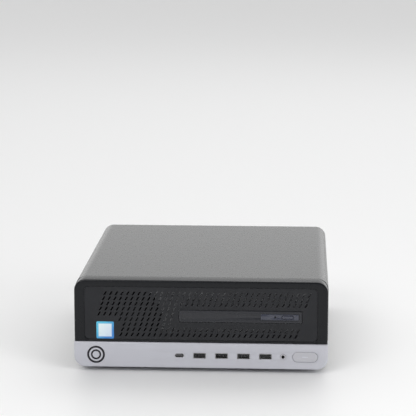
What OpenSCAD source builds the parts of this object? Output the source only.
// Small form factor desktop computer: a flat steel case on four rubber feet, with a plastic front.
// X runs to the right as seen from the front, Y runs to the back, Z runs up.
// The origin is on the surface that the feet stand on, under the middle of the case.

/* [Case] */
// Width across the case
body_w = 270; // [268:1:274]
// Depth from the front strip to the rear connector posts
body_d = 296; // [294:1:300]
// Height on its feet
body_h = 100; // [99:0.5:102]
// Height of the rubber feet
foot_h = 5; // [4:0.5:6]
// Radius of the four long edges
edge_r = 12; // [10:1:13]
// Thickness of the sheet steel
sheet = 1; // [0.8:0.1:1]

/* [Front] */
// Depth of the plastic front
bezel_depth = 18; // [17:0.5:19]
// Height of the silver strip
strip_h = 27.5; // [26:0.5:29]
// Wall thickness of the plastic front
bezel_wall = 2.4; // [2:0.1:2.6]
// Distance between neighbouring front sockets
port_pitch = 23.3; // [22:0.1:24]
// Width of the power button
button_w = 27; // [22:1:28]
// Height of the power button
button_h = 11; // [8:1:12]

/* [Disc drive] */
// Width of the disc drive's front
odd_w = 130; // [129:0.5:131]
// Height of the disc drive
odd_h = 12.7; // [12.5:0.1:12.9]
// Depth of the disc drive's case
odd_d = 126; // [124:1:127]
// Radius of the disc recess
disc_r = 60.5; // [60:0.1:60.8]

/* [Fans] */
// Side of the processor fan's square frame
fan_size = 80; // [78:1:80]
// Thickness of the processor fan
fan_depth = 25; // [20:1:25]
// Number of blades of the processor fan
fan_blades = 9; // [5:1:11]
// Side of the power supply fan's square frame
psu_fan_size = 60; // [58:1:60]

/* [Hidden] */
$fn = 48;

// Planes that the whole design hangs on
x_side = body_w / 2;
y_front = -body_d / 2;
y_back = body_d / 2;
z_base = foot_h;
z_top = body_h;
face_y = y_front + 1;                    // face of the dark part of the front
strip_y = y_front + 0.3;                 // face of the silver strip
bezel_back = y_front + bezel_depth;
hood_front = bezel_back + 0.4;
hood_back = y_back - 2;
wall_front_y = hood_front;               // outer face of the inner front wall
wall_rear_y = y_back - 3.5;              // outer face of the rear wall
inner_front = wall_front_y + sheet;
inner_rear = wall_rear_y - sheet;
pan_top = z_base + sheet;
seam_z = z_base + edge_r;                // where the hood's sides meet the pan
flange_x = x_side - sheet - 0.5;         // outer face of the pan's side flanges

// Front layout
strip_top = z_base + strip_h;
port_z = z_base + 13.6;                  // middle height of the sockets
usb_w = 13.2;
usb_h = 5.8;
usb_depth = 14;
usb_x0 = -1.1;                           // middle of the first of the four wide sockets
usb_c_x = usb_x0 - 21.5;
usb_c_w = 9.6;
usb_c_h = 3.9;
jack_x = usb_x0 + 3.8 * port_pitch;
jack_r = 1.8;
jack_nose_r = 3;
button_x = 110.8;
emblem_x = -111.5;
emblem_r = 9.6;
sticker_x = -101.6;
sticker_z = z_base + 40.2;
sticker_w = 18.6;
field_inset = 11.5;                      // dark rim beside the perforated field
field_top = z_top - 7.5;
field_bottom = strip_top + 2.8;
grille_y = face_y + 0.8;                 // face of the perforated panel
io_board_top = port_z - usb_h / 2;

// Disc drive layout
odd_x = 42;                              // middle of the drive
odd_z = z_base + 56.5;                   // middle height of the drive
odd_front = y_front + 7;                 // front edge of the drive's case
odd_wall = 0.8;
odd_case_w = odd_w - 2;
tray_low = odd_z - 4.5;
tray_floor = odd_z - 0.5;
tray_high = odd_z + 4.7;
tray_front = odd_front - 1.4;
disc_y = odd_front + 61.5;
eject_x = odd_x + 50;
sled_travel = 22;

// Drive cage and hard drive layout
cage_x0 = odd_x - odd_case_w / 2 - 2.5;
cage_x1 = odd_x + odd_case_w / 2 + 2.5;
cage_low = odd_z - odd_h / 2 - 1.2;
cage_shelf = odd_z + odd_h / 2 + 0.6;
hdd_w = 101.6;
hdd_l = 147;
hdd_h = 26.1;
hdd_x0 = odd_x - hdd_w / 2 + 11;
hdd_y0 = inner_front + 2;
hdd_z0 = cage_shelf + sheet + 0.2;
plug_x0 = hdd_x0 + 4;                    // left end of the drive's two plugs
plug_z = hdd_z0 + 5;

// Board layout
board_z = 12;
board_t = 1.6;
board_up = board_z + board_t;
board_x0 = -131;
board_x1 = 38;
board_y0 = -100;
board_y1 = 141.5;
slot_pitch = 20.32;
slot_x0 = -119;                          // middle of the first card slot
slot_count = 4;
dimm_x0 = 3;
dimm_pitch = 9.5;
dimm_front = -97;
dimm_rear = 44.5;
latch_pivot_y = dimm_rear + 4.5;
latch_pivot_z = board_up + 3.4;
cpu_x = -80;
cpu_y = -59;

// Fan and heatsink layout
fan_x = cpu_x;
fan_z = 54;
fan_y0 = inner_front + 0.2;
fan_y1 = fan_y0 + fan_depth;
sink_w = 76;
sink_y0 = fan_y1 + 4;
sink_y1 = -20;
sink_low = board_up + 5.4;
sink_high = 88;
fin_count = 29;

// Power supply layout
psu_x0 = 40;
psu_x1 = 131;
psu_y0 = 22.5;
psu_y1 = inner_rear;
psu_z0 = 10;
psu_z1 = 93;
psu_fan_x = 92;
psu_fan_z = 61.4;
psu_fan_y1 = psu_y1 - sheet - 0.5;
psu_fan_depth = 15;
inlet_x = 66;
inlet_z = 21.1;
inlet_w = 24.6;
inlet_h = 17.2;

// Rear ports, as middle x; each stack stands on the board
dp_x = 26.5;
usb_stack_x = [8.8, -7.8];
lan_x = -25.2;
audio_x = -40.5;
audio_r = 1.8;
rear_port_y = wall_rear_y + 0.8;
vga_x = 12;
vga_z = 53;
shield_x0 = -47.5;
shield_x1 = 37.5;
shield_z1 = 46;
latch_x = 72;                            // middle of the hood's release latch
slot_latch_y = y_back - 2;
slot_latch_z = z_top - 7.8;

// ---------- helpers ----------
module box(x0, x1, y0, y1, z0, z1) {
    translate([x0, y0, z0]) cube([x1 - x0, y1 - y0, z1 - z0]);
}

module along_y(y0, y1) {                 // a drawing in X and Z, pushed from y0 to y1
    translate([0, y1, 0]) rotate([90, 0, 0]) linear_extrude(y1 - y0) children();
}

module rounded(w, h, r) {
    union() {
        square([w - 2 * r, h], center = true);
        square([w, h - 2 * r], center = true);
        for (sx = [-1, 1], sy = [-1, 1])
            translate([sx * (w / 2 - r), sy * (h / 2 - r)]) circle(r);
    }
}

module rounded_at(x, z, w, h, r) {
    translate([x, z]) rounded(w, h, r);
}

module rod_y(x, z, y0, y1, r) {
    translate([x, y1, z]) rotate([90, 0, 0]) cylinder(r = r, h = y1 - y0);
}

module rod_x(y, z, x0, x1, r) {
    translate([x0, y, z]) rotate([0, 90, 0]) cylinder(r = r, h = x1 - x0);
}

module rod_z(x, y, z0, z1, r) {
    translate([x, y, z0]) cylinder(r = r, h = z1 - z0);
}

// The outline of the case seen from the front, shrunk all round by inset
module outline(inset = 0) {
    rounded_at(0, (z_base + z_top) / 2, body_w - 2 * inset,
        z_top - z_base - 2 * inset, edge_r - inset);
}

module band(z0, z1) {
    translate([-body_w, z0]) square([2 * body_w, z1 - z0]);
}

// The part of the outline between two heights
module outline_between(z0, z1, inset = 0) {
    intersection() {
        outline(inset);
        band(z0, z1);
    }
}

// The inner walls' outline, inside the hood and on the pan
module wall_outline() {
    wall_w = 2 * (flange_x - sheet);
    wall_top = z_top - 2.5;
    rounded_at(0, (pan_top + wall_top) / 2, wall_w, wall_top - pan_top, edge_r - sheet);
}

// ---------- front ----------
module field_shape(grow = 0) {
    w = body_w - 2 * field_inset + 2 * grow;
    h = field_top - field_bottom + 2 * grow;
    rounded_at(0, (field_top + field_bottom) / 2, w, h, 5 + grow);
}

module odd_window(grow = 0) {
    rounded_at(odd_x, odd_z, odd_w + 1.2 + 2 * grow, odd_h + 1 + 2 * grow, 1.2);
}

module front_bezel() {
    color("#2b2b2f") union() {
        along_y(face_y, bezel_back) difference() {
            outline_between(strip_top + 0.2, z_top + 1);
            outline_between(strip_top + 0.2 + bezel_wall, z_top + 1, bezel_wall);
        }
        along_y(face_y, face_y + bezel_wall) difference() {
            outline_between(strip_top + 0.2, z_top + 1, 0.5);
            field_shape();
        }
        // ledge that the perforated panel sits on
        along_y(grille_y + 1.6, grille_y + 3) difference() {
            outline_between(strip_top + 0.4, z_top + 1, 1);
            field_shape(-3);
        }
        // clips that hold the front on the inner wall
        for (x = [-90, 0, 90]) {
            box(x - 6, x + 6, bezel_back - 3, bezel_back, z_top - 6, z_top - 1.5);
            box(x - 6, x + 6, bezel_back - 3, wall_front_y, z_top - 6, z_top - 4.4);
        }
    }
}

module slanted_slot(x, z) {
    translate([x, z]) polygon([[-2.2, -2], [-0.3, -2], [2.2, 2], [0.3, 2]]);
}

module grille_panel() {
    pitch_x = 6;
    pitch_z = 5.6;
    columns = 18;
    rows = 9;
    color("#232327") along_y(grille_y, grille_y + 1.6) difference() {
        field_shape(-0.1);
        odd_window();
        for (row = [0:rows - 1], col = [-columns:columns]) {
            z = field_bottom + 5.3 + row * pitch_z;
            x = col * pitch_x + (row - 4) * 1.7;
            near_drive = abs(z - odd_z) < odd_h / 2 + 3.4 && abs(x - odd_x) < odd_w / 2 + 5;
            near_sticker = abs(x - sticker_x) < sticker_w / 2 + 5
                && abs(z - sticker_z) < sticker_w / 2 + 4;
            if (abs(x) < x_side - field_inset - 5 && !near_drive && !near_sticker)
                slanted_slot(x, z);
        }
    }
}

module pill(w, h) {
    mid_w = w - h;
    union() {
        square([mid_w, h], center = true);
        for (s = [-1, 1]) translate([s * mid_w / 2, 0]) circle(h / 2);
    }
}

module silver_strip() {
    color("#c4c5cb") difference() {
        union() {
            along_y(strip_y, bezel_back) difference() {
                outline_between(z_base - 1, strip_top);
                outline_between(z_base - 1, strip_top - bezel_wall, bezel_wall);
            }
            along_y(strip_y, strip_y + bezel_wall) outline_between(z_base - 1, strip_top - 0.5, 0.5);
            for (x = [-96, 90])          // clips that hold the strip on the inner wall
                box(x - 6, x + 6, bezel_back - 3, wall_front_y, pan_top + 0.4, pan_top + 2.4);
        }
        along_y(strip_y - 1, strip_y + bezel_wall + 1) {
            for (i = [0:3]) rounded_at(usb_x0 + i * port_pitch, port_z, usb_w + 0.4, usb_h + 0.4, 0.6);
            rounded_at(usb_c_x, port_z, usb_c_w + 0.4, usb_c_h + 0.4, 2.1);
            translate([jack_x, port_z]) circle(jack_nose_r + 0.2);
            translate([button_x, port_z]) pill(button_w + 0.6, button_h + 0.6);
        }
        rod_y(emblem_x, port_z, strip_y - 1, strip_y + 0.8, emblem_r + 0.1);
    }
}

module emblem() {                        // a plain ring around a plain disc
    color("#3a3b40") difference() {
        rod_y(emblem_x, port_z, y_front, strip_y + 0.8, emblem_r);
        rod_y(emblem_x, port_z, y_front - 1, strip_y + 1.5, emblem_r - 2.4);
    }
    color("#b9bac0") rod_y(emblem_x, port_z, strip_y + 0.1, strip_y + 0.8, emblem_r - 2.6);
}

module spec_sticker() {
    color("#dfeaf4") along_y(grille_y - 0.3, grille_y)
        rounded_at(sticker_x, sticker_z, sticker_w, sticker_w, 1.2);
}

light_w = 6;
module power_button() {
    color("#b4b5bb") difference() {
        union() {
            along_y(y_front, strip_y + bezel_wall + 0.3)
                translate([button_x, port_z]) pill(button_w, button_h);
            along_y(strip_y + bezel_wall + 0.1, strip_y + bezel_wall + 1.5)
                translate([button_x, port_z]) pill(button_w + 4, button_h + 3);
            box(button_x - 2, button_x + 2, strip_y + bezel_wall + 1.5, y_front + 8.2,
                port_z - 2, port_z + 2);
        }
        box(button_x - light_w / 2, button_x + light_w / 2, y_front - 1, y_front + 2,
            port_z - 0.5, port_z + 0.5);
    }
}

module power_light() {
    color("white") box(button_x - light_w / 2, button_x + light_w / 2, y_front, y_front + 2,
        port_z - 0.5, port_z + 0.5);
}

module front_io_board() {                // the board behind the strip, with the tactile switch on it
    switch_y = y_front + 10.4;
    color("#1f5a36") union() {
        box(-34, 93, strip_y + bezel_wall + 0.6, bezel_back - 1.5, io_board_top - 1.6, io_board_top);
        box(92, 127, switch_y - 3.6, bezel_back - 1.5, io_board_top - 1.6, io_board_top);
    }
    color("#44464a") box(button_x - 3, button_x + 3, switch_y, switch_y + 4,
        io_board_top, io_board_top + 6);
    color("#202225") rod_y(button_x, port_z, switch_y - 0.5, switch_y, 1.5);
}

module socket_shell(x, z, w, h, y0, depth, r, wall = 0.35) {  // open to the front
    difference() {
        along_y(y0, y0 + depth) rounded_at(x, z, w, h, r);
        along_y(y0 - 1, y0 + depth - wall) rounded_at(x, z, w - 2 * wall, h - 2 * wall, r - wall / 2);
    }
}

module front_usb_shells() {
    color("#a9abad") {
        for (i = [0:3])
            socket_shell(usb_x0 + i * port_pitch, port_z, usb_w, usb_h, strip_y + 0.4, usb_depth, 0.5);
        socket_shell(usb_c_x, port_z, usb_c_w, usb_c_h, strip_y + 0.4, 9, 1.9);
    }
}

module front_usb_tongues() {
    back = strip_y + 0.4 + usb_depth - 0.35;
    color("#1b1c1f") {
        for (i = [0:3]) box(usb_x0 + i * port_pitch - 5.5, usb_x0 + i * port_pitch + 5.5,
            back - 11.5, back, port_z + 0.1, port_z + 1.9);
        box(usb_c_x - 3.3, usb_c_x + 3.3, strip_y + 2, strip_y + 9.05, port_z - 0.35, port_z + 0.35);
    }
}

module headset_jack() {
    color("#17181a") difference() {
        union() {
            rod_y(jack_x, port_z, strip_y, strip_y + 3, jack_nose_r);
            box(jack_x - 3.5, jack_x + 3.5, strip_y + 2.9, strip_y + 15, io_board_top, io_board_top + 6.2);
        }
        rod_y(jack_x, port_z, strip_y - 1, strip_y + 13.5, jack_r);
    }
}

// ---------- disc drive ----------
module odd_case() {
    x0 = odd_x - odd_case_w / 2;
    x1 = odd_x + odd_case_w / 2;
    z0 = odd_z - odd_h / 2;
    z1 = odd_z + odd_h / 2;
    color("#9da0a3") difference() {
        box(x0, x1, odd_front, odd_front + odd_d, z0, z1);
        box(x0 + odd_wall, x1 - odd_wall, odd_front - 1, odd_front + odd_d - odd_wall,
            z0 + odd_wall, z1 - odd_wall);
    }
}

sled_x0 = odd_x - 15;
sled_x1 = odd_x + 15;
sled_slot_y0 = disc_y + 17;
sled_len = 19;
tray_w = odd_case_w - 5;
module odd_tray() {                      // the tray and the sled's two guide rods
    slot_y1 = sled_slot_y0 + sled_len + sled_travel + 1;
    color("#1d1e21") difference() {
        box(odd_x - tray_w / 2, odd_x + tray_w / 2, tray_front, odd_front + odd_d - 3,
            tray_low, tray_high);
        rod_z(odd_x, disc_y, tray_floor, tray_high + 1, disc_r);
        rod_z(odd_x, disc_y, tray_low - 1, tray_floor + 1, 1.6);
        box(sled_x0 - 3, sled_x1 + 3, sled_slot_y0, slot_y1, tray_low - 1, tray_floor + 1);
    }
    color("#b8babd") for (s = [-1, 1])
        rod_y(odd_x + s * 12, tray_low + 2, sled_slot_y0, slot_y1, 1.1);
}

module odd_rails() {                     // the two strips that run between the tray and the case
    color("#c3c5c7") for (s = [-1, 1]) translate([odd_x + s * (tray_w / 2 + 0.8), 0, 0])
        box(-0.4, 0.4, odd_front + 1, odd_front + odd_d - 4, odd_z - 3.5, odd_z + 3.5);
}

module odd_laser_sled() {
    color("#3d4148") difference() {
        union() {
            box(sled_x0, sled_x1, sled_slot_y0 + 0.5, sled_slot_y0 + 0.5 + sled_len,
                tray_low + 0.4, tray_floor - 0.3);
            rod_z(odd_x, sled_slot_y0 + 8, tray_floor - 0.4, tray_floor + 0.4, 3);
        }
        for (s = [-1, 1])
            rod_y(odd_x + s * 12, tray_low + 2, sled_slot_y0, sled_slot_y0 + sled_len + 2, 1.2);
    }
}

module odd_spindle() {
    color("#8b8e92") union() {
        rod_z(odd_x, disc_y, tray_low + 0.4, tray_floor + 0.3, 1.5);
        rod_z(odd_x, disc_y, tray_floor + 0.2, tray_floor + 1.6, 14.5);
        rod_z(odd_x, disc_y, tray_floor + 1.6, tray_floor + 3.8, 7.4);
    }
}

eject_w = 12;
eject_h = 3.2;
module odd_bezel() {
    color("#17171a") difference() {
        along_y(face_y + 0.2, tray_front) rounded_at(odd_x, odd_z, odd_w, odd_h, 1);
        along_y(face_y, tray_front + 1) translate([eject_x, odd_z]) pill(eject_w + 0.4, eject_h + 0.4);
    }
}

module odd_eject_button() {
    color("#26262a") along_y(face_y + 0.1, tray_front - 1)
        translate([eject_x, odd_z]) pill(eject_w, eject_h);
}

// ---------- drives ----------
module drive_cage() {
    y0 = inner_front;
    y1 = hdd_y0 + hdd_l;
    up_x0 = hdd_x0 - 1.2;
    up_x1 = hdd_x0 + hdd_w + 1.2;
    color("#a4a7aa") union() {
        along_y(y0, y1) union() {
            translate([cage_x0, cage_low]) square([cage_x1 - cage_x0, sheet]);
            translate([cage_x0, cage_shelf]) square([cage_x1 - cage_x0, sheet]);
            for (x = [cage_x0, cage_x1 - sheet])
                translate([x, cage_low]) square([sheet, cage_shelf - cage_low + sheet]);
            for (x = [up_x0 - sheet, up_x1])
                translate([x, cage_shelf]) square([sheet, hdd_h + 2 - sheet]);
        }
        // feet that carry the cage on the pan
        for (y = [y0, y1 - 12])
            box(cage_x1 - sheet, cage_x1, y, y + 12, pan_top, cage_low + 0.5);
        box(cage_x0, cage_x0 + sheet, y0, y0 + 12, pan_top, cage_low + 0.5);
    }
}

module hard_drive() {                    // cast body, pressed lid and label
    color("#8f9295") difference() {
        box(hdd_x0, hdd_x0 + hdd_w, hdd_y0, hdd_y0 + hdd_l, hdd_z0, hdd_z0 + hdd_h - 3);
        box(plug_x0 - 1, plug_x0 + 33.5, hdd_y0 + hdd_l - 4, hdd_y0 + hdd_l + 1, hdd_z0 + 2, hdd_z0 + 8);
    }
    color("#b9bcbf") union() {
        translate([hdd_x0 + hdd_w / 2, hdd_y0 + hdd_l / 2, hdd_z0 + hdd_h - 3])
            linear_extrude(2) rounded(hdd_w - 3, hdd_l - 3, 6);
        translate([hdd_x0 + hdd_w / 2, hdd_y0 + 54, hdd_z0 + hdd_h - 1.5])
            linear_extrude(1.5) circle(44);
    }
}

// ---------- case ----------
module chassis_pan() {
    color("#55585b") union() {
        along_y(inner_front - sheet, wall_rear_y) union() {
            difference() {
                outline_between(z_base - 1, seam_z);
                outline(sheet);
            }
            for (s = [-1, 1]) {
                translate([s > 0 ? flange_x - sheet : -x_side, seam_z - sheet])
                    square([x_side - flange_x + sheet, sheet]);
                translate([s > 0 ? flange_x - sheet : -flange_x, seam_z - sheet])
                    square([sheet, 15]);
            }
        }
        for (p = board_holes)            // stamped standoffs
            rod_z(p[0], p[1], pan_top - 0.2, board_z, 3.5);
        for (y = [40, 110])              // ribs under the power supply
            box(psu_x0 + 8, psu_x1 - 14, y, y + 4, pan_top - 0.2, psu_z0);
    }
}

board_holes = [[-116, -94], [-30, -94], [-12, -94], [-118, 100], [-45, 104], [34, 60]];

module front_wall() {
    color("#8b8e91") along_y(inner_front - sheet, inner_front) difference() {
        wall_outline();
        rounded_at(odd_x, odd_z, odd_case_w + 1, odd_h + 1, 1);
        translate([fan_x, fan_z]) circle(fan_size / 2 - 2);
        rounded_at(20, port_z, 90, 16, 3);
        rounded_at(66, (cage_shelf + z_top) / 2, 70, 14, 3);
    }
}

psu_window = [psu_x0 + 4, psu_x1 - 4, psu_z0 + 0.8, psu_z1 - 2.6];
vent_field = [-44, 30, 65, 91];

module rear_wall() {
    win_x = (psu_window[0] + psu_window[1]) / 2;
    win_z = (psu_window[2] + psu_window[3]) / 2;
    latch_x0 = slot_x0 - 9.6;
    latch_x1 = slot_x0 + (slot_count - 1) * slot_pitch + 12;
    color("#8b8e91") difference() {
        union() {
            along_y(inner_rear, wall_rear_y) difference() {
                wall_outline();
                rounded_at(win_x, win_z, psu_window[1] - psu_window[0], psu_window[3] - psu_window[2], 3);
                translate([shield_x0, board_z]) square([shield_x1 - shield_x0, shield_z1 - board_z]);
                translate([vent_field[0], vent_field[2]])
                    square([vent_field[1] - vent_field[0], vent_field[3] - vent_field[2]]);
                for (i = [0:slot_count - 1])
                    rounded_at(slot_x0 + i * slot_pitch, 52, 14, 70, 1.5);
                translate([latch_x0, z_top - 10.2]) square([latch_x1 - latch_x0, 12]);
                rounded_at(vga_x, vga_z, 18.4, 9.6, 2);
                for (s = [-1, 1]) translate([vga_x + s * 12.5, vga_z]) circle(1.7);
                rounded_at(35, 56, 3, 7, 0.8);
                translate([latch_x - 20, z_top - 5.8]) square([48, 8]);
            }
            // keeper for the release latch's tongue
            box(latch_x - 20, latch_x - 15.4, wall_rear_y - 3, wall_rear_y, z_top - 6.2, z_top - 1.8);
            // ledge under the slot covers' tabs
            box(latch_x0, latch_x1, wall_rear_y - sheet, y_back - 1, z_top - 11.2, z_top - 10.2);
            for (x = [latch_x0 - 1.2, latch_x1])   // lugs that carry the slot latch
                box(x, x + 1.2, wall_rear_y - sheet, y_back - 0.2, z_top - 11.2, slot_latch_z + 2);
        }
        rod_x(slot_latch_y, slot_latch_z, latch_x0 - 3, latch_x1 + 3, 1.1);
    }
}

module slot_latch() {
    latch_x0 = slot_x0 - 9.4;
    latch_x1 = slot_x0 + (slot_count - 1) * slot_pitch + 11.8;
    color("#1e1f22") union() {
        rod_x(slot_latch_y, slot_latch_z, latch_x0 - 1, latch_x1 + 1, 1);
        rod_x(slot_latch_y, slot_latch_z, latch_x0, latch_x1, 1.6);
        box(latch_x0, latch_x1, slot_latch_y - 1.4, slot_latch_y + 1.2, slot_latch_z, slot_latch_z + 4.6);
        box(latch_x0 + 30, latch_x0 + 46, slot_latch_y + 1, slot_latch_y + 2,
            slot_latch_z + 1, slot_latch_z + 4);
    }
}

module slot_covers() {
    color("#a9acae") for (i = [0:slot_count - 1]) union() {
        x = slot_x0 + i * slot_pitch;
        box(x - 9.2, x + 9.2, inner_rear - 0.9, inner_rear, board_up + 0.4, z_top - 10.2);
        box(x - 9.2, x + 9.2, inner_rear - 0.9, y_back - 1.6, z_top - 10.2, z_top - 9.7);
    }
}

module hex_field(x0, x1, z0, z1, pitch, flat) {
    r = flat / sqrt(3);
    rows = floor((z1 - z0 - flat) / (pitch * 0.866));
    cols = floor((x1 - x0 - flat) / pitch);
    for (row = [0:rows], col = [0:cols]) {
        x = x0 + flat / 2 + 0.8 + col * pitch + (row % 2) * pitch / 2;
        z = z0 + flat / 2 + 0.8 + row * pitch * 0.866;
        if (x < x1 - flat / 2 - 0.4 && z < z1 - flat / 2 - 0.4)
            translate([x, z]) rotate(30) circle(r, $fn = 6);
    }
}

module vent_meshes() {                   // the rear wall's vent and the power supply's fan grille
    psu_vent_r = psu_fan_size / 2 - 1.5;
    color("#7d8083") {
        along_y(inner_rear + 0.2, wall_rear_y - 0.2) difference() {
            translate([vent_field[0], vent_field[2]])
                square([vent_field[1] - vent_field[0], vent_field[3] - vent_field[2]]);
            hex_field(vent_field[0], vent_field[1], vent_field[2], vent_field[3], 5.6, 4.2);
        }
        along_y(psu_y1 - sheet + 0.1, psu_y1 - 0.1) difference() {
            translate([psu_fan_x, psu_fan_z]) circle(psu_vent_r);
            intersection() {
                translate([psu_fan_x, psu_fan_z]) circle(psu_vent_r - 2, $fn = 12);
                hex_field(psu_fan_x - psu_vent_r, psu_fan_x + psu_vent_r,
                    psu_fan_z - psu_vent_r, psu_fan_z + psu_vent_r, 5.6, 4.2);
            }
        }
    }
}

module io_shield() {
    stack_h = 16.2;
    color("#b0b3b5") along_y(inner_rear + 0.2, wall_rear_y - 0.2) difference() {
        translate([shield_x0, board_z]) square([shield_x1 - shield_x0, shield_z1 - board_z]);
        translate([board_x0, 0]) square([200, board_up + 0.3]);
        for (k = [0, 1]) rounded_at(dp_x, board_up + 4.4 + k * 10, 17.4, 6.2, 0.6);
        for (x = usb_stack_x) rounded_at(x, board_up + stack_h / 2 + 0.2, 14.4, stack_h, 0.6);
        rounded_at(lan_x, board_up + 15.3, 17.4, 29.8, 0.6);
        for (k = [0, 1]) translate([audio_x, board_up + 5 + k * 12]) circle(3.6);
    }
}

module hood() {
    color("#4a4c4f") union() {
        along_y(hood_front, hood_back) difference() {
            outline_between(seam_z + 0.4, z_top + 1);
            outline(sheet);
        }
        // stiffening folds under the top
        for (y = [-40, 60]) box(-100, 100, y, y + 1.5, z_top - 2, z_top - sheet + 0.3);
        // rear lip that carries the release latch
        difference() {
            box(40, 110, hood_back - sheet, hood_back, z_top - 6.5, z_top - 0.5);
            box(latch_x - 15, latch_x + 23, hood_back - 2, hood_back + 1, z_top - 5, z_top - 2.4);
        }
    }
}

module hood_latch() {
    color("#16171a") union() {           // thumb plate, neck through the lip, tongue behind it
        box(latch_x - 12, latch_x + 12, hood_back + 0.2, y_back - 0.2, z_top - 6.2, z_top - 1.2);
        for (i = [-2:2]) box(latch_x + i * 3 - 0.6, latch_x + i * 3 + 0.6, y_back - 0.4, y_back,
            z_top - 5.4, z_top - 2);
        box(latch_x - 10, latch_x + 10, hood_back - 1.4, hood_back + 0.4, z_top - 4.7, z_top - 2.7);
        box(latch_x - 14, latch_x + 12, hood_back - 3, hood_back - 1.3, z_top - 5.2, z_top - 1.8);
    }
}

module rubber_feet() {
    color("#1a1a1c") for (sx = [-1, 1], sy = [-1, 1])
        rod_z(sx * 112, sy * 118, 0, z_base, 9);
}

// ---------- board ----------
module motherboard() {
    color("#14532f") difference() {
        box(board_x0, board_x1, board_y0, board_y1, board_z, board_up);
        for (p = board_holes) rod_z(p[0], p[1], board_z - 1, board_up + 1, 2);
    }
}

module board_screws() {                  // board screws, and the heatsink's four
    color("#8d8f92") {
        for (p = board_holes) union() {
            rod_z(p[0], p[1], board_z, board_up + 0.1, 1.5);
            rod_z(p[0], p[1], board_up, board_up + 1.8, 3.2);
        }
        for (p = sink_screws) union() {
            rod_z(p[0], p[1], board_up, sink_low + 2.2, 2.2);
            rod_z(p[0], p[1], sink_low + 2, sink_low + 4.5, 3.8);
        }
    }
}

module cpu_socket() {
    color("#5b5e61") difference() {
        box(cpu_x - 25, cpu_x + 25, cpu_y - 23, cpu_y + 23, board_up, board_up + 3.4);
        box(cpu_x - 19, cpu_x + 19, cpu_y - 19, cpu_y + 19, board_up + 1, board_up + 5);
    }
}

module processor() {
    color("#b8babc") union() {
        box(cpu_x - 18.7, cpu_x + 18.7, cpu_y - 18.7, cpu_y + 18.7, board_up + 1, board_up + 2.6);
        box(cpu_x - 15, cpu_x + 15, cpu_y - 15, cpu_y + 15, board_up + 2.6, board_up + 5.4);
    }
}

sink_screws = [for (sx = [-1, 1], sy = [-1, 1]) [cpu_x + sx * 43, cpu_y + sy * 34]];
module heatsink() {
    fin_t = 0.7;
    gap = (sink_w - fin_t) / (fin_count - 1);
    color("#b3b5b7") difference() {
        union() {
            for (sy = [-1, 1]) box(cpu_x - 48, cpu_x + 48, cpu_y + sy * 34 - 5, cpu_y + sy * 34 + 5,
                sink_low, sink_low + 2);
            along_y(sink_y0, sink_y1) union() {
                translate([cpu_x - sink_w / 2, sink_low]) square([sink_w, 5]);
                for (i = [0:fin_count - 1])
                    translate([cpu_x - sink_w / 2 + i * gap, sink_low + 4])
                        square([fin_t, sink_high - sink_low - 4]);
            }
        }
        for (p = sink_screws) rod_z(p[0], p[1], sink_low - 1, sink_low + 3, 2.7);
        // a shallow step over the fins, where the clip lies
        box(cpu_x - 50, cpu_x + 50, cpu_y - 5, cpu_y + 5, sink_high - 6, sink_high + 1);
    }
}

shaft_r = 2;
module fan_body(x, z, size, y0, y1, stator_r) {  // square frame, struts and motor seat
    color("#1b1c1e") union() {
        along_y(y0, y1) difference() {
            rounded_at(x, z, size, size, 4);
            translate([x, z]) circle(size / 2 - 1.8);
            for (sx = [-1, 1], sz = [-1, 1])
                translate([x + sx * (size / 2 - 4.3), z + sz * (size / 2 - 4.3)]) circle(2);
        }
        along_y(y1 - 1.6, y1) difference() {
            union() {
                translate([x, z]) circle(stator_r);
                for (a = [45, 135]) translate([x, z]) rotate(a) square([size - 1.5, 3], center = true);
            }
            translate([x, z]) circle(shaft_r + 0.08);
        }
    }
}

module fan_wheel(x, z, size, y0, y1, hub_r, blades) {
    tip_r = size / 2 - 2.8;
    depth = y1 - y0;
    color("#26272a") union() {
        rod_y(x, z, y0, y1, hub_r);
        rod_y(x, z, y0, y1 + 1.8, shaft_r);
        translate([x, (y0 + y1) / 2, z]) rotate([90, 0, 0]) intersection() {
            cylinder(r = tip_r, h = depth - 2, center = true);
            union() for (i = [0:blades - 1])
                rotate([0, 0, i * 360 / blades]) translate([hub_r - 2, 0, 0])
                    rotate([38, 0, 0]) translate([0, -depth, -0.7]) cube([tip_r, 2 * depth, 1.4]);
        }
    }
}

module fan_frame() {
    fan_body(fan_x, fan_z, fan_size, fan_y0, fan_y1, 17);
}

module fan_rotor() {
    fan_wheel(fan_x, fan_z, fan_size, fan_y0 + 1, fan_y1 - 2.2, 17, fan_blades);
}

function dimm_x(i) = dimm_x0 + i * dimm_pitch;

module memory_sockets() {
    for (i = [0:3]) color(i % 2 == 0 ? "#1d1d20" : "#e9e9ea") difference() {
        union() {
            box(dimm_x(i) - 3.3, dimm_x(i) + 3.3, dimm_front, dimm_rear, board_up, board_up + 9);
            box(dimm_x(i) - 3.3, dimm_x(i) + 3.3, dimm_front, dimm_front + 4.5, board_up, board_up + 19);
            box(dimm_x(i) - 3.3, dimm_x(i) + 3.3, dimm_rear, dimm_rear + 8, board_up, board_up + 7);
        }
        box(dimm_x(i) - 0.9, dimm_x(i) + 0.9, dimm_front + 3.5, dimm_rear + 9, board_up + 3, board_up + 20);
        box(dimm_x(i) - 2.6, dimm_x(i) + 2.6, dimm_rear, dimm_rear + 9, board_up + 0.3, board_up + 10);
    }
}

module memory_modules() {                // in the first and third socket
    color("#1d6b3c") for (i = [0, 2]) union() {
        x = dimm_x(i);
        box(x - 0.7, x + 0.7, dimm_front + 4.6, dimm_rear - 1.6, board_up + 3.1, board_up + 33);
        for (s = [-1, 1], k = [0:7])
            box(s > 0 ? x + 0.7 : x - 1.7, s > 0 ? x + 1.7 : x - 0.7, dimm_front + 12 + k * 15,
                dimm_front + 23 + k * 15, board_up + 18, board_up + 27);
    }
}

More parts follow.
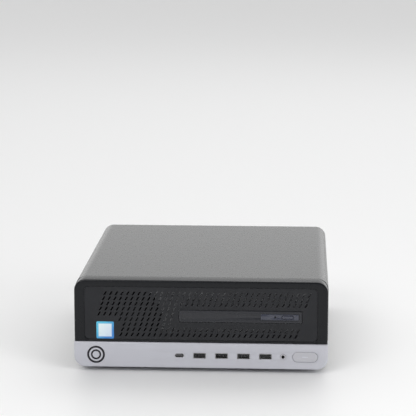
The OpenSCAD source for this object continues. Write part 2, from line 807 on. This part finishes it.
module memory_latch(i) {
    color("#e4e4e2") union() {
        rod_x(latch_pivot_y, latch_pivot_z, dimm_x(i) - 2.3, dimm_x(i) + 2.3, 2.8);
        box(dimm_x(i) - 2.3, dimm_x(i) + 2.3, latch_pivot_y - 1.4, latch_pivot_y + 2.4,
            latch_pivot_z, latch_pivot_z + 17);
        box(dimm_x(i) - 2.3, dimm_x(i) + 2.3, latch_pivot_y - 4.6, latch_pivot_y + 2.4,
            latch_pivot_z + 13, latch_pivot_z + 17);
    }
}

card_lens = [25, 89, 25, 39];
module card_sockets() {
    for (i = [0:slot_count - 1]) color("#18191b") difference() {
        x = slot_x0 + i * slot_pitch;
        box(x - 3.7, x + 3.7, 92 - card_lens[i], 92, board_up, board_up + 11);
        box(x - 0.9, x + 0.9, 93 - card_lens[i], 91, board_up + 3, board_up + 12);
    }
}

module ssd_module() {                    // solid state drive stick, its socket and its post
    color("#20303f") union() {
        box(-44, -22, -14, 66, board_up + 3.4, board_up + 4.2);
        for (y = [2, 26]) box(-42, -24, y, y + 18, board_up + 4.2, board_up + 5.4);
    }
    color("#191a1c") difference() {
        box(-44, -22, 62, 70, board_up, board_up + 5.6);
        box(-45, -21, 61, 66.1, board_up + 3.3, board_up + 4.3);
    }
    color("#9fa1a3") rod_z(-33, -15.4, board_up, board_up + 4.6, 1.4);
}

module board_battery() {
    color("#c9cbcd") rod_z(-9, 64, board_up + 1.5, board_up + 4.7, 10);
    color("#232427") difference() {
        rod_z(-9, 64, board_up, board_up + 3.5, 11.5);
        rod_z(-9, 64, board_up + 1.5, board_up + 4, 10.2);
    }
}

module board_components() {              // chip cooler, coils, capacitors, sockets for leads
    color("#85888b") along_y(78, 104) union() {
        translate([-38, board_up]) square([28, 3]);
        for (i = [0:7]) translate([-38 + i * 3.8, board_up + 2]) square([1.4, 9]);
    }
    color("#3a3c3f") for (i = [0:3]) box(-124 + i * 11, -115 + i * 11, -6, 3, board_up, board_up + 6);
    color("#2c2d31") for (i = [0:3]) rod_z(-76 + i * 8, 1, board_up, board_up + 9, 3.4);
    color("#2a6fb3") for (i = [0:2]) box(-2 + i * 10, 5 + i * 10, 78, 92, board_up, board_up + 8);
    color("#e8e6de") box(26, 37, 66, 76, board_up, board_up + 10);
    color("#1f2023") box(-34, -22, -74, -64, board_up, board_up + 7);
}

// ---------- rear ports ----------
usb_drop = [4.6, 12.2];                  // heights of the two sockets of a stack
module rear_shell(x, zc, w, h, wall = 0.4) {
    difference() {
        along_y(rear_port_y - 17, rear_port_y) rounded_at(x, zc, w, h, 0.5);
        along_y(rear_port_y - 13, rear_port_y + 1)
            rounded_at(x, zc, w - 2 * wall, h - 2 * wall, 0.3);
    }
}

module rear_port_shells() {
    color("#b5b7b9") {
        for (k = [0, 1]) rear_shell(dp_x, board_up + 4.4 + k * 10, 17, 5.8);
        for (x = usb_stack_x, d = usb_drop) rear_shell(x, board_up + d - 0.6, 14, 7.2);
        for (d = usb_drop) rear_shell(lan_x, board_up + d - 0.6, 14, 7.2);
        difference() {                   // network socket
            along_y(rear_port_y - 20, rear_port_y) rounded_at(lan_x, board_up + 22.9, 16.6, 13.8, 0.5);
            along_y(rear_port_y - 12, rear_port_y + 1) rounded_at(lan_x, board_up + 22.4, 11.9, 8.4, 0.3);
        }
    }
}

module rear_port_tongues() {
    y0 = rear_port_y - 13;
    color("#1f66b0") {
        for (x = concat(usb_stack_x, [lan_x]), d = usb_drop)
            box(x - 5.5, x + 5.5, y0, y0 + 10.5, board_up + d + 0.1, board_up + d + 1.9);
        for (k = [0, 1]) box(dp_x - 6.6, dp_x + 6.6, y0, y0 + 10.5,
            board_up + 4.3 + k * 10, board_up + 5.4 + k * 10);
    }
}

module vga_port() {
    post_out = y_back;
    color("#b8babc") union() {
        along_y(inner_rear - 1, inner_rear) rounded_at(vga_x, vga_z, 31, 12.6, 2);
        along_y(inner_rear - 10, inner_rear - 1) rounded_at(vga_x, vga_z, 19, 10.4, 2);
        along_y(inner_rear - 1, wall_rear_y + 2.2) difference() {
            rounded_at(vga_x, vga_z, 17.6, 8.8, 2);
            rounded_at(vga_x, vga_z, 16.8, 8, 1.8);
        }
    }
    color("#2457a6") along_y(inner_rear, wall_rear_y + 1.4) difference() {
        rounded_at(vga_x, vga_z, 16.6, 7.8, 1.8);
        for (row = [-1:1], col = [-2:2])
            translate([vga_x + col * 2.3 + (row == 0 ? 1.1 : 0), vga_z + row * 2]) circle(0.5, $fn = 8);
    }
    color("#c4c6c8") for (s = [-1, 1]) difference() {
        union() {
            along_y(wall_rear_y, post_out) translate([vga_x + s * 12.5, vga_z]) circle(2.8, $fn = 6);
            rod_y(vga_x + s * 12.5, vga_z, inner_rear, wall_rear_y + 0.1, 1.6);
        }
        rod_y(vga_x + s * 12.5, vga_z, inner_rear + 0.5, post_out + 1, 1.25);
    }
}

module audio_jacks() {
    color("#1c1d20") difference() {
        union() {
            box(audio_x - 5.4, audio_x + 5.4, rear_port_y - 15, inner_rear - 0.1, board_up, board_up + 24);
            for (k = [0, 1]) rod_y(audio_x, board_up + 5 + k * 12, inner_rear - 0.2, rear_port_y, 3.4);
        }
        for (k = [0, 1])
            rod_y(audio_x, board_up + 5 + k * 12, rear_port_y - 13, rear_port_y + 1, audio_r);
    }
}

// ---------- power supply ----------
module psu_case() {
    color("#999c9e") difference() {
        box(psu_x0, psu_x1, psu_y0, psu_y1, psu_z0, psu_z1 - sheet);
        box(psu_x0 + sheet, psu_x1 - sheet, psu_y0 + sheet, psu_y1 - sheet, psu_z0 + sheet, psu_z1);
        rod_y(psu_fan_x, psu_fan_z, psu_y1 - 2, psu_y1 + 1, psu_fan_size / 2 - 1.5);
        along_y(psu_y1 - 2, psu_y1 + 1) rounded_at(inlet_x, inlet_z, 27.6, 20.2, 2);
        for (i = [0:9]) box(psu_x0 + 12 + i * 7, psu_x0 + 15 + i * 7, psu_y0 - 1, psu_y0 + 2, 28, 76);
        rod_x(96, 50, psu_x0 - 1, psu_x0 + 2, 5);
    }
}

module psu_lid() {
    color("#a6a9ab") union() {
        box(psu_x0, psu_x1, psu_y0, psu_y1, psu_z1 - sheet, psu_z1);
        box(psu_x0 + sheet + 0.2, psu_x0 + 2 * sheet + 0.2, psu_y0 + 6, psu_y1 - 30,
            psu_z1 - 9, psu_z1 - sheet);
    }
}

module psu_fan_frame() {
    fan_body(psu_fan_x, psu_fan_z, psu_fan_size, psu_fan_y1 - psu_fan_depth, psu_fan_y1, 14);
}

module psu_fan_rotor() {
    fan_wheel(psu_fan_x, psu_fan_z, psu_fan_size, psu_fan_y1 - psu_fan_depth + 0.6,
        psu_fan_y1 - 2, 14, 7);
}

module power_inlet() {                   // the shrouded inlet and its three blades
    depth = 15.5;
    out = psu_y1 + 1.2;
    color("#17181a") difference() {
        along_y(out - depth - 2, out) rounded_at(inlet_x, inlet_z, 27.2, 19.8, 2);
        along_y(out - depth, out + 1) difference() {
            rounded_at(inlet_x, inlet_z, inlet_w, inlet_h, 1.5);
            for (s = [-1, 1]) translate([inlet_x + s * inlet_w / 2, inlet_z + inlet_h / 2])
                rotate(45) square(3.2, center = true);
        }
    }
    color("#c7b37a") for (p = [[-7, -2], [7, -2], [0, 2]])
        box(inlet_x + p[0] - 1, inlet_x + p[0] + 1, out - depth, out - 2,
            inlet_z + p[1] - 2, inlet_z + p[1] + 2);
}

module psu_parts() {                     // circuit board, transformer, capacitors and coolers
    z = psu_z0 + 6;
    color("#7a6a3c") box(psu_x0 + 4, psu_x1 - 4, psu_y0 + 4, psu_y1 - 22, z - 1.6, z);
    color("#d0d2d4") for (x = [psu_x0 + 8, psu_x1 - 8], y = [psu_y0 + 8, psu_y1 - 26])
        rod_z(x, y, psu_z0 + sheet, z - 1.6, 2.5);
    color("#d8c25a") box(88, 116, 46, 76, z, z + 26);
    color("#2a2b2e") for (i = [0:2]) rod_z(54 + i * 0.5, 44 + i * 24, z, z + 30 - i * 4, 9 - i);
    color("#7f8285") for (x = [72, 122]) box(x, x + 2.5, 36, 104, z, z + 34);
    color("#b5652b") rod_z(100, 96, z, z + 12, 9);
}

// ---------- leads ----------
function unit(v) = v / norm(v);
function spline_point(p, i, t) =         // Catmull-Rom through the listed points
    let (a = p[max(i - 1, 0)], b = p[i], c = p[i + 1], d = p[min(i + 2, len(p) - 1)])
    0.5 * (2 * b + (c - a) * t + (2 * a - 5 * b + 4 * c - d) * t * t
        + (3 * b - a - 3 * c + d) * t * t * t);
function smooth(p, m) = [for (i = [0:len(p) - 2], k = [0:m - 1]) spline_point(p, i, k / m),
    p[len(p) - 1]];
function ring(path, i, r, n, ref) =
    let (last = len(path) - 1, t = unit(path[min(i + 1, last)] - path[max(i - 1, 0)]),
        a = unit(cross(t, ref)), b = cross(t, a))
    [for (k = [0:n - 1]) path[i] + r * (cos(360 * k / n) * a + sin(360 * k / n) * b)];

module lead(points, r, ref, n = 8, m = 5) {
    path = smooth(points, m);
    last = len(path) - 1;
    polyhedron(
        points = [for (i = [0:last]) each ring(path, i, r, n, ref)],
        faces = concat(
            [[for (k = [0:n - 1]) k], [for (k = [0:n - 1]) last * n + n - 1 - k]],
            [for (i = [0:last - 1], k = [0:n - 1])
                [(i + 1) * n + k, (i + 1) * n + (k + 1) % n, i * n + (k + 1) % n, i * n + k]]));
}

drive_end = hdd_y0 + hdd_l - 3.8;
lead_y = drive_end + 12;
data_lead = [[plug_x0 + 5, lead_y, plug_z], [plug_x0 + 5, lead_y + 6, plug_z - 1], [10, 46, 66],
    [4, 66, 48], [1.5, 80, 34], [1.5, 85, 27]];
drive_power_lead = [[38.5, 96, 54], [34, 92, 57], [30, 70, 66], [plug_x0 + 20, 44, plug_z - 2],
    [plug_x0 + 20, lead_y, plug_z]];
disc_lead = [[-8, odd_front + odd_d + 8, odd_z], [-9, 6, 61], [-9, 24, 60], [-5, 42, 53], [4, 62, 45],
    [11.5, 80, 34], [11.5, 85, 27]];
supply_lead = [[38.5, 96, 46], [33, 95, 45], [30, 88, 38], [31, 74, 31], [31, 71, 27]];
front_lead = [[-16, bezel_back - 0.6, 18], [-16, -122, 17], [-19, -109, 18], [-27, -93, 24],
    [-28, -78, 29], [-28, -69, 25]];
module inner_cables() {                  // five leads with their plugs
    color("#b3261e") union() {
        lead(data_lead, 2, [1, 0.1, 0]);
        box(plug_x0, plug_x0 + 10, drive_end, lead_y + 0.5, plug_z - 2.6, plug_z + 2.6);
        box(-1, 4, 80, 90, board_up + 8, 29);
    }
    color("#1c1c1e") union() {
        lead(drive_power_lead, 2.4, [0.3, 0.1, 1]);
        box(plug_x0 + 11.5, plug_x0 + 32, drive_end, lead_y + 0.5, plug_z - 2.6, plug_z + 2.6);
        lead(supply_lead, 3, [0.2, 1, 0.3]);
        box(26.5, 36.5, 66.5, 75.5, board_up + 10, 29);
        box(34.5, psu_x0, 91, 101, 42, 58);
    }
    color("#2a6fb3") union() {
        lead(disc_lead, 2, [1, 0.1, 0]);
        box(-18, 4, odd_front + odd_d, odd_front + odd_d + 8.5, odd_z - 2.6, odd_z + 2.6);
        box(9, 14, 80, 90, board_up + 8, 29);
    }
    color("#3c3d40") union() {
        lead(front_lead, 1.8, [1, 0, 0]);
        box(-19, -13, bezel_back - 6, bezel_back - 0.4, io_board_top, 20.5);
        box(-33, -23, -73, -65, board_up + 7, 27);
    }
}

module speaker() {
    color("#222326") difference() {
        box(112, 130, inner_front + 0.1, inner_front + 22, 20, 46);
        rod_y(121, 33, inner_front - 1, inner_front + 3, 7);
    }
}

module case_screws() {                   // screws that hold the power supply to the rear wall
    color("#2b2c2f") for (p = [[psu_x0 + 2, psu_z1 - 8], [psu_x1 - 2, psu_z1 - 8],
            [psu_x0 + 2, psu_z0 + 8], [psu_x1 - 2, psu_z0 + 10]])
        rod_y(p[0], p[1], wall_rear_y, wall_rear_y + 1.6, 1.9);
}

front_bezel();
silver_strip();
grille_panel();
emblem();
spec_sticker();
power_button();
power_light();
front_io_board();
front_usb_shells();
front_usb_tongues();
headset_jack();
odd_case();
odd_tray();
odd_rails();
odd_bezel();
odd_eject_button();
odd_spindle();
odd_laser_sled();
drive_cage();
hard_drive();
chassis_pan();
front_wall();
rear_wall();
vent_meshes();
io_shield();
slot_covers();
slot_latch();
hood();
hood_latch();
rubber_feet();
motherboard();
board_screws();
cpu_socket();
processor();
heatsink();
fan_frame();
fan_rotor();
memory_sockets();
memory_modules();
memory_latch(0);  // memory_latch_1
memory_latch(1);  // memory_latch_2
memory_latch(2);  // memory_latch_3
memory_latch(3);  // memory_latch_4
card_sockets();
ssd_module();
board_battery();
board_components();
rear_port_shells();
rear_port_tongues();
vga_port();
audio_jacks();
psu_case();
psu_lid();
psu_fan_frame();
psu_fan_rotor();
power_inlet();
psu_parts();
inner_cables();
speaker();
case_screws();
